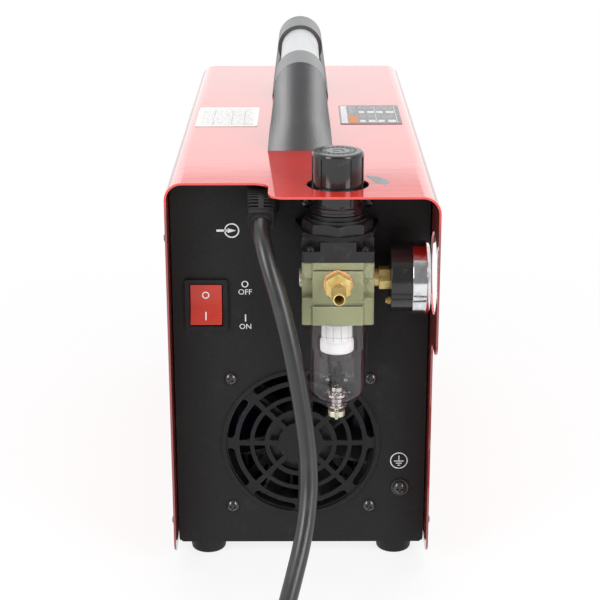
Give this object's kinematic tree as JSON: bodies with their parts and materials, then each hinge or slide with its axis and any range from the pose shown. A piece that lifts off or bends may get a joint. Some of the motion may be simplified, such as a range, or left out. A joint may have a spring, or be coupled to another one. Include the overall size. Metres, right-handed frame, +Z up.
{
  "type": "plasma cutter power unit",
  "caption": "Portable inverter power unit for air plasma cutting, with sheet-metal case, carrying handle, rear filter-regulator, gauge, fan, switch and mains lead.",
  "frame": {"origin": "on the floor under the middle of the unit, the mains lead left out", "axes": "+Y from the rear panel to the front panel, +X to the right seen from behind, +Z up"},
  "size_m": [0.1973, 0.649, 0.2898],
  "materials": {
    "red_gloss_paint": "gloss",
    "black_powder_coat": "fine texture",
    "zinc_sheet": "satin",
    "black_rubber": "matt",
    "zinc_screw": "satin",
    "black_screw": "satin",
    "label_film": "satin",
    "black_moulding": "fine texture",
    "handle_moulding": "semi gloss",
    "grip_tube": "satin",
    "rocker_red": "gloss",
    "brass": "machined",
    "nickel": "bright",
    "olive_casting": "painted satin",
    "filter_white": "porous",
    "clear_bowl": "clear",
    "chrome_bezel": "polished",
    "gauge_glass": "clear",
    "dial_white": "satin",
    "lamp_lens": "clear coloured",
    "board_green": "satin",
    "heatsink": "extruded",
    "ferrite": "sintered",
    "copper_winding": "enamelled",
    "capacitor_sleeve": "satin",
    "air_hose": "satin"
  },
  "bodies": {
    "power_unit": {"cover": "red_gloss_paint", "tray": "zinc_sheet", "rear_panel": "black_powder_coat", "front_panel": "black_powder_coat", "feet": "black_rubber", "m5_screws": "zinc_screw", "cover_screws": "black_screw", "top_labels": "label_film", "fan_frame": "black_moulding", "fan_screws": "black_screw", "switch_housing": "black_moulding", "switch_terminals": "brass", "cord_boot": "black_rubber", "mains_cord": "black_rubber", "cord_coil": "black_rubber", "coil_tie": "black_moulding", "plug_body": "black_moulding", "plug_pins": "nickel", "regulator_body": "olive_casting", "regulator_bonnet": "black_moulding", "regulator_screws": "zinc_screw", "lock_ring": "black_moulding", "regulator_spring": "zinc_screw", "diaphragm": "black_rubber", "filter_element": "filter_white", "filter_baffle": "filter_white", "regulator_bracket": "black_powder_coat", "air_fittings": "brass", "gauge_stem": "brass", "gauge_case": "black_screw", "gauge_bezel": "chrome_bezel", "gauge_glass": "gauge_glass", "gauge_dial": "dial_white", "earth_screw": "black_screw", "handle_rear_arm": "handle_moulding", "handle_front_arm": "handle_moulding", "handle_grip": "grip_tube", "current_pot": "zinc_screw", "indicator_lamps": "lamp_lens", "display": "black_moulding", "torch_socket": "brass", "work_socket": "black_moulding", "main_board": "board_green", "heatsinks": "heatsink", "transformer": "ferrite", "arc_choke": "copper_winding", "capacitors": "capacitor_sleeve", "solenoid_valve": "brass", "air_hoses": "air_hose"},
    "fan_rotor": {"fan_rotor": "black_moulding"},
    "rocker": {"rocker": "rocker_red"},
    "regulator_spindle": {"regulator_spindle": "nickel"},
    "regulator_knob": {"regulator_knob": "black_moulding"},
    "bowl": {"bowl": "clear_bowl", "drain_valve": "brass"},
    "drain_knob": {"drain_knob": "brass"},
    "gauge_pointer": {"gauge_pointer": "black_screw"},
    "current_knob": {"current_knob": "black_moulding"},
    "solenoid_plunger": {"solenoid_plunger": "nickel"}
  },
  "joints": [
    {"name": "fan_spin", "type": "hinge", "parent": "power_unit", "child": "fan_rotor", "pos_m": [0, -0.1275, 0.0744], "axis": [0, 1, 0], "continuous": true},
    {"name": "rocker_rock", "type": "hinge", "parent": "power_unit", "child": "rocker", "pos_m": [-0.0545, -0.1385, 0.162], "axis": [1, 0, 0], "range_deg": [0, 18]},
    {"name": "spindle_turn", "type": "hinge", "parent": "power_unit", "child": "regulator_spindle", "pos_m": [0.0207, -0.1625, 0.1875], "axis": [0, 0, 1], "range_deg": [0, 1080]},
    {"name": "knob_lift", "type": "slide", "parent": "regulator_spindle", "child": "regulator_knob", "axis": [0, 0, 1], "range_m": [0, 0.003]},
    {"name": "bowl_twist", "type": "hinge", "parent": "power_unit", "child": "bowl", "pos_m": [0.0207, -0.1625, 0.1875], "axis": [0, 0, 1], "range_deg": [0, 45]},
    {"name": "drain_push", "type": "slide", "parent": "bowl", "child": "drain_knob", "axis": [0, 0, 1], "range_m": [0, 0.0018], "stiffness_N_per_m": 100, "springref_m": -0.002},
    {"name": "pointer_swing", "type": "hinge", "parent": "power_unit", "child": "gauge_pointer", "pos_m": [0.067, -0.1625, 0.1849], "axis": [-1, 0, 0], "range_deg": [0, 270]},
    {"name": "current_turn", "type": "hinge", "parent": "power_unit", "child": "current_knob", "pos_m": [0.038, 0.1865, 0.181], "axis": [0, 1, 0], "range_deg": [0, 300]},
    {"name": "plunger_pull", "type": "slide", "parent": "power_unit", "child": "solenoid_plunger", "axis": [0, 0, -1], "range_m": [0, 0.003], "stiffness_N_per_m": 200, "springref_m": -0.004}
  ]
}
